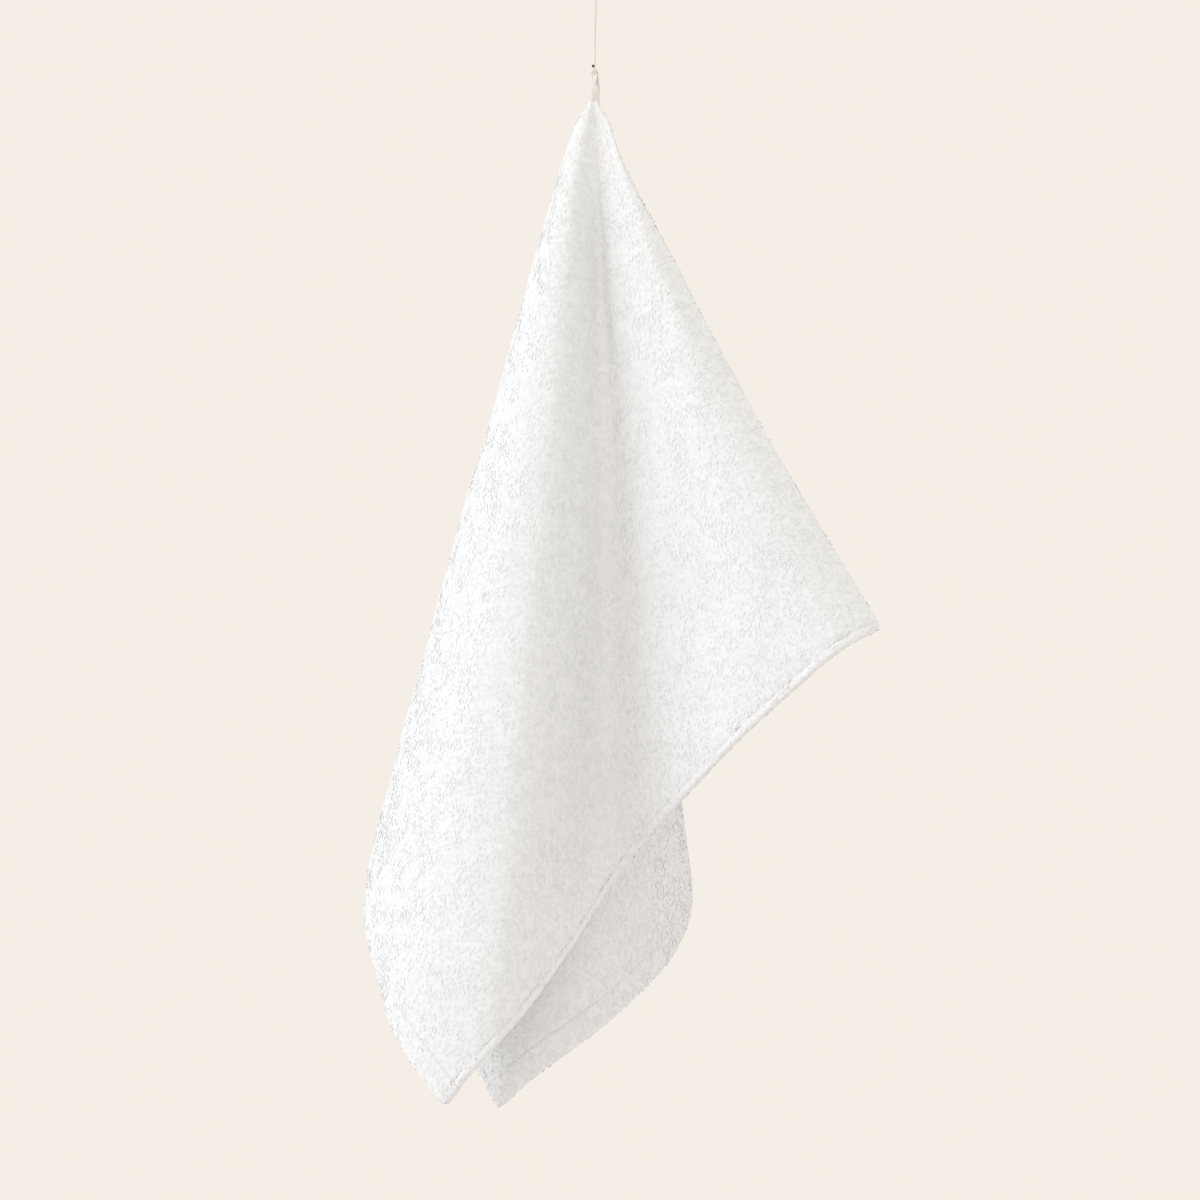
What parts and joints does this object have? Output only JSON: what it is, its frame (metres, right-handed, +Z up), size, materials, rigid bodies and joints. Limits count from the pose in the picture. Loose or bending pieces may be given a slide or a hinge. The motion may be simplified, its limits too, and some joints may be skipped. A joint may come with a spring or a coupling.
{
  "type": "face towel on a wire hook",
  "caption": "Terry face towel hung by a tape loop from a wire hook, falling in an uneven folded cone, with a small round mount for the wire.",
  "frame": {"origin": "centre of the flat top of the round button that the hook hangs from", "axes": "+Z up; -Y towards the viewer, the side that the towel's open front fold faces; +X to the viewer's right"},
  "size_m": [0.1978, 0.1926, 0.4388],
  "materials": {
    "white_terry": "fluffy terry pile",
    "cream_tape": "woven tape",
    "pale_wire": "satin",
    "white_button": "matte"
  },
  "bodies": {
    "root": {"towel": "white_terry", "hanging_loop": "cream_tape", "hook_wire": "pale_wire", "hook_button": "white_button"}
  },
  "joints": []
}
